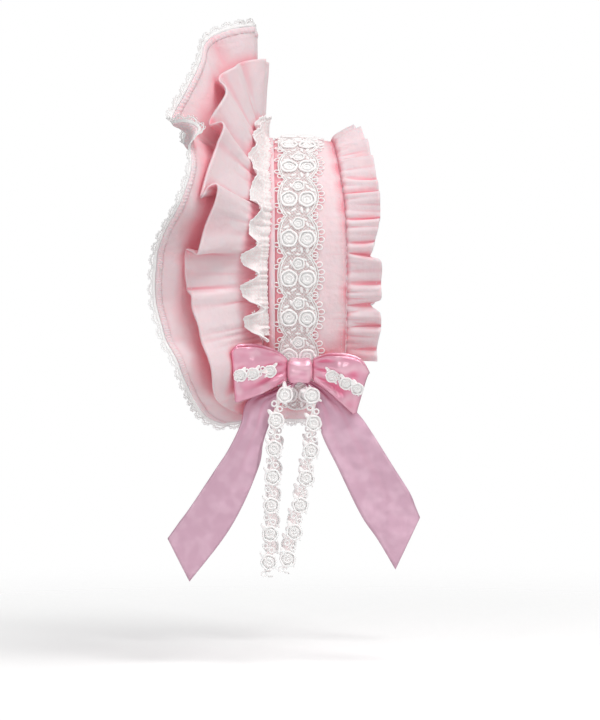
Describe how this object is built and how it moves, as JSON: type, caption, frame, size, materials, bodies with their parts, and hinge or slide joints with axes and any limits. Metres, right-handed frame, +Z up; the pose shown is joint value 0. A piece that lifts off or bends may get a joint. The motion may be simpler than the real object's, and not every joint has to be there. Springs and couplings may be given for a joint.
{
  "type": "brimmed headband",
  "caption": "Half-bonnet headband of pink cotton with a flared ruffled brim, lace trims, a back frill and a satin bow with hanging tails on each cheek.",
  "frame": {"origin": "inside top of the band arch, on the middle plane, where it sits on the head", "axes": "+Z up, -Y the way the wearer faces, +X the wearer's left"},
  "size_m": [0.312, 0.2133, 0.4535],
  "materials": {
    "cotton": "matt plain-weave cotton, pale pink",
    "satin": "glossy satin ribbon, pink",
    "lace": "white chemical and net lace"
  },
  "bodies": {
    "root": {"crown_band": "cotton", "front_binding": "cotton", "back_frill": "cotton", "brim": "cotton", "brim_ruffle": "cotton", "rose_lace_strip": "lace", "brim_edge_lace": "lace", "lace_frill": "lace", "left_bow_knot": "satin", "left_bow_loop_front": "satin", "left_bow_loop_back": "satin", "left_ribbon_tail_front": "satin", "left_ribbon_tail_back": "satin", "left_loop_lace_front": "lace", "left_loop_lace_back": "lace", "left_lace_tail_front": "lace", "left_lace_tail_back": "lace", "right_bow_knot": "satin", "right_bow_loop_front": "satin", "right_bow_loop_back": "satin", "right_ribbon_tail_front": "satin", "right_ribbon_tail_back": "satin", "right_loop_lace_front": "lace", "right_loop_lace_back": "lace", "right_lace_tail_front": "lace", "right_lace_tail_back": "lace"}
  },
  "joints": []
}
